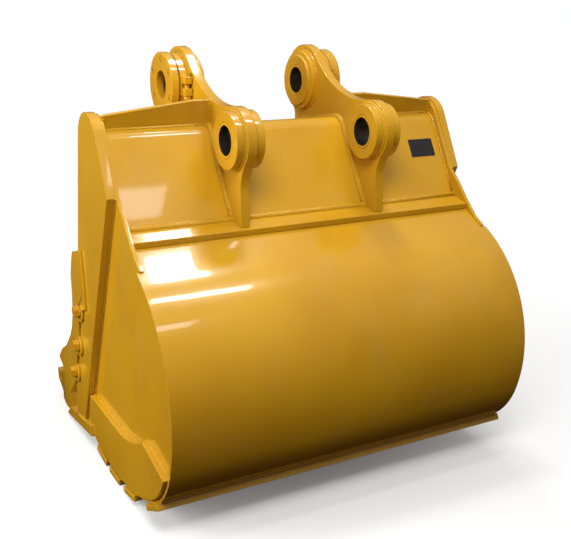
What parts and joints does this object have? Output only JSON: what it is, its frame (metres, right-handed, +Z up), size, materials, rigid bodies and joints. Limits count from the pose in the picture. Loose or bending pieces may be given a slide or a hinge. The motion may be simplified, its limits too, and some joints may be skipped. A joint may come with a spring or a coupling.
{
  "type": "excavator bucket",
  "caption": "Yellow welded steel digging bucket with twin pin ears, torque tube, side cutters, tooth adapters and wear strips.",
  "frame": {"origin": "on the axis of the stick pin bores, midway between the two ears", "axes": "+X along the pins to the bucket's right side seen from behind, +Y towards the teeth, +Z up with the bucket resting on its wear strips and adapters"},
  "size_m": [1.3338, 1.3687, 1.3746],
  "materials": {
    "yellow_paint": "gloss",
    "bare_steel": "machined",
    "black_plate": "gloss"
  },
  "bodies": {
    "root": {"wrapper_shell": "yellow_paint", "flange_strip": "yellow_paint", "torque_tube_outer": "yellow_paint", "torque_tube_inner": "yellow_paint", "tube_cap_left": "yellow_paint", "tube_cap_right": "yellow_paint", "lip_plate": "yellow_paint", "side_plate_left": "yellow_paint", "side_plate_right": "yellow_paint", "side_bar_left": "yellow_paint", "side_bar_right": "yellow_paint", "heel_plate_left": "yellow_paint", "heel_plate_right": "yellow_paint", "side_cutter_left": "yellow_paint", "side_cutter_right": "yellow_paint", "cutter_bolts_left": "yellow_paint", "cutter_bolts_right": "yellow_paint", "cutter_washers_left": "yellow_paint", "cutter_washers_right": "yellow_paint", "cutter_nuts_left": "yellow_paint", "cutter_nuts_right": "yellow_paint", "ear_plate_left": "yellow_paint", "ear_plate_right": "yellow_paint", "link_boss_inner_left": "yellow_paint", "link_boss_inner_right": "yellow_paint", "link_boss_outer_left": "yellow_paint", "link_boss_outer_right": "yellow_paint", "stick_boss_inner_left": "yellow_paint", "stick_boss_inner_right": "yellow_paint", "stick_boss_outer_left": "yellow_paint", "stick_boss_outer_right": "yellow_paint", "link_bushing_left": "bare_steel", "link_bushing_right": "bare_steel", "stick_bushing_left": "bare_steel", "stick_bushing_right": "bare_steel", "adjuster_shims": "bare_steel", "adjuster_ring": "yellow_paint", "adjuster_screws": "yellow_paint", "retaining_collar": "yellow_paint", "lock_lug_left": "yellow_paint", "lock_lug_right": "yellow_paint", "lock_bolt_left": "yellow_paint", "lock_bolt_right": "yellow_paint", "lock_nut_left": "yellow_paint", "lock_nut_right": "yellow_paint", "ear_gusset_left": "yellow_paint", "ear_gusset_right": "yellow_paint", "heel_strip": "yellow_paint", "wear_strip_1": "yellow_paint", "wear_strip_2": "yellow_paint", "wear_strip_3": "yellow_paint", "rating_plate": "black_plate", "adapter_1": "yellow_paint", "adapter_2": "yellow_paint", "adapter_3": "yellow_paint", "adapter_4": "yellow_paint", "adapter_5": "yellow_paint"}
  },
  "joints": []
}
